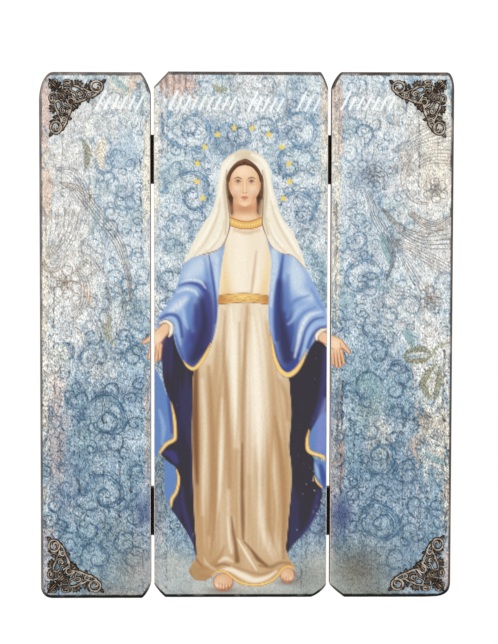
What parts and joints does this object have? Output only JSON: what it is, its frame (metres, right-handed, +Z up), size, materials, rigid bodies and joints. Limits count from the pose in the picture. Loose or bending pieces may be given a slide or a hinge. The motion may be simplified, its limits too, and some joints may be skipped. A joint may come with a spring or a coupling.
{
  "type": "retablo",
  "caption": "Wall-hung devotional panel of printed boards side by side, joined by battens behind, with pierced metal corner ornaments.",
  "frame": {"origin": "middle of the upper batten's rear face, which lies on the wall", "axes": "+Z up, +Y into the wall, the printed front faces -Y, +X to the viewer's right"},
  "size_m": [0.2986, 0.0237, 0.3816],
  "materials": {
    "printed_board": "printed and distressed MDF, satin",
    "black_batten": "black paint, satin",
    "antique_bronze": "antiqued, rubbed on the high spots",
    "zinc_steel": "zinc plated"
  },
  "bodies": {
    "root": {"board_left": "printed_board", "board_middle": "printed_board", "board_right": "printed_board", "batten_upper": "black_batten", "batten_lower": "black_batten", "corner_top_left": "antique_bronze", "corner_top_right": "antique_bronze", "corner_bottom_left": "antique_bronze", "corner_bottom_right": "antique_bronze", "sawtooth_hanger": "zinc_steel", "hanger_nail_left": "zinc_steel", "hanger_nail_right": "zinc_steel"}
  },
  "joints": []
}
